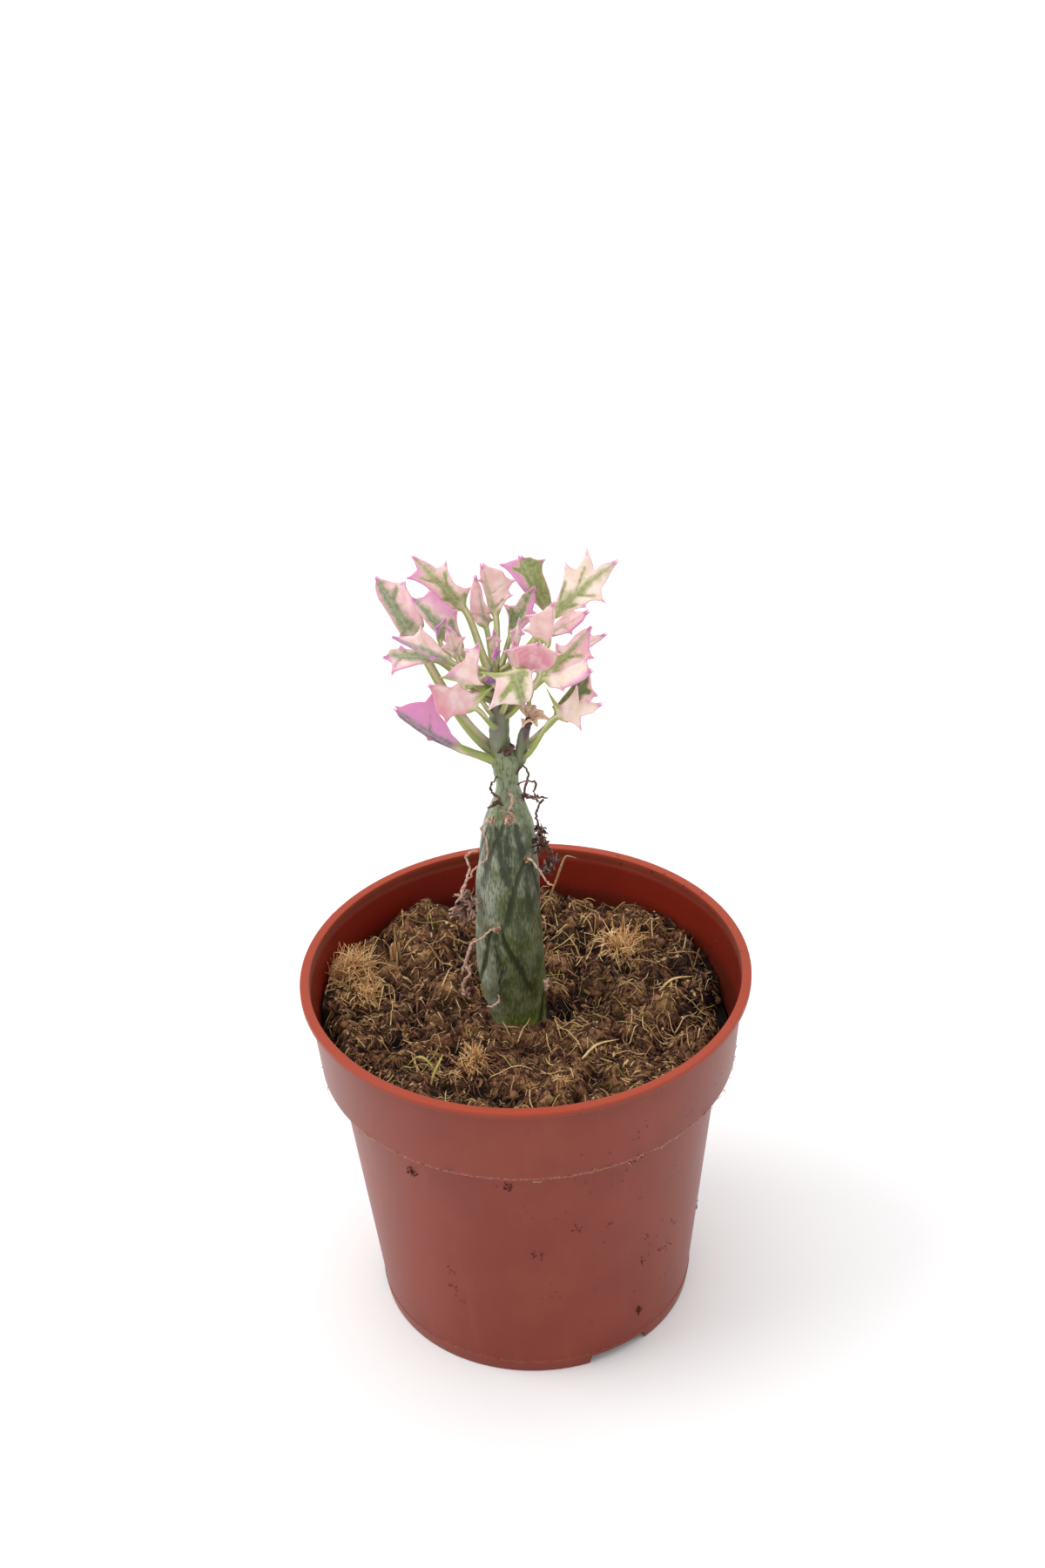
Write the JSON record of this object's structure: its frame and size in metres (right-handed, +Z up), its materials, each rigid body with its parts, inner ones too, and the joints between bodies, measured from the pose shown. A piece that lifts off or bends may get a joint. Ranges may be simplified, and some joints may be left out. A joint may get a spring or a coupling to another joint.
{
  "type": "potted candle plant",
  "caption": "Small potted candle plant: a swollen jointed succulent stem with lobed pink, cream and green leaves, standing in peat in a stepped plastic nursery pot.",
  "frame": {"origin": "middle of the pot's foot ring, on the surface that the pot stands on", "axes": "+Z up along the pot's axis; seen from the front, along +Y, +X points right"},
  "size_m": [0.12, 0.12, 0.2244],
  "materials": {
    "pot_plastic": "satin",
    "peat": "matte",
    "stem_skin": "satin",
    "leaf_green": "satin",
    "leaf_pink": "satin",
    "leaf_cream": "satin",
    "leaf_magenta": "satin",
    "leaf_olive": "satin",
    "withered": "matte"
  },
  "bodies": {
    "root": {"pot": "pot_plastic", "soil": "peat", "stem": "stem_skin", "leaf_01": "leaf_magenta", "leaf_02": "leaf_green", "leaf_03": "leaf_green", "leaf_04": "leaf_pink", "leaf_05": "leaf_pink", "leaf_06": "leaf_green", "leaf_07": "leaf_green", "leaf_08": "leaf_olive", "leaf_09": "leaf_green", "leaf_10": "leaf_green", "leaf_11": "leaf_pink", "leaf_12": "leaf_cream", "leaf_13": "leaf_pink", "leaf_14": "leaf_green", "leaf_15": "leaf_cream", "leaf_16": "leaf_magenta", "leaf_17": "leaf_pink", "leaf_18": "leaf_olive", "leaf_19": "leaf_pink", "leaf_20": "leaf_cream", "leaf_21": "leaf_pink", "leaf_22": "leaf_olive", "leaf_23": "leaf_cream", "leaf_24": "leaf_olive", "leaf_25": "leaf_olive", "leaf_26": "leaf_cream", "leaf_27": "leaf_olive", "leaf_28": "leaf_pink", "young_leaf_01": "leaf_magenta", "young_leaf_02": "leaf_cream", "young_leaf_03": "leaf_olive", "young_leaf_04": "leaf_magenta", "withered_tuft": "withered", "dried_leaf_left": "withered", "dried_leaf_right": "withered", "dried_leaf_middle": "withered", "dried_leaf_neck": "withered"}
  },
  "joints": []
}
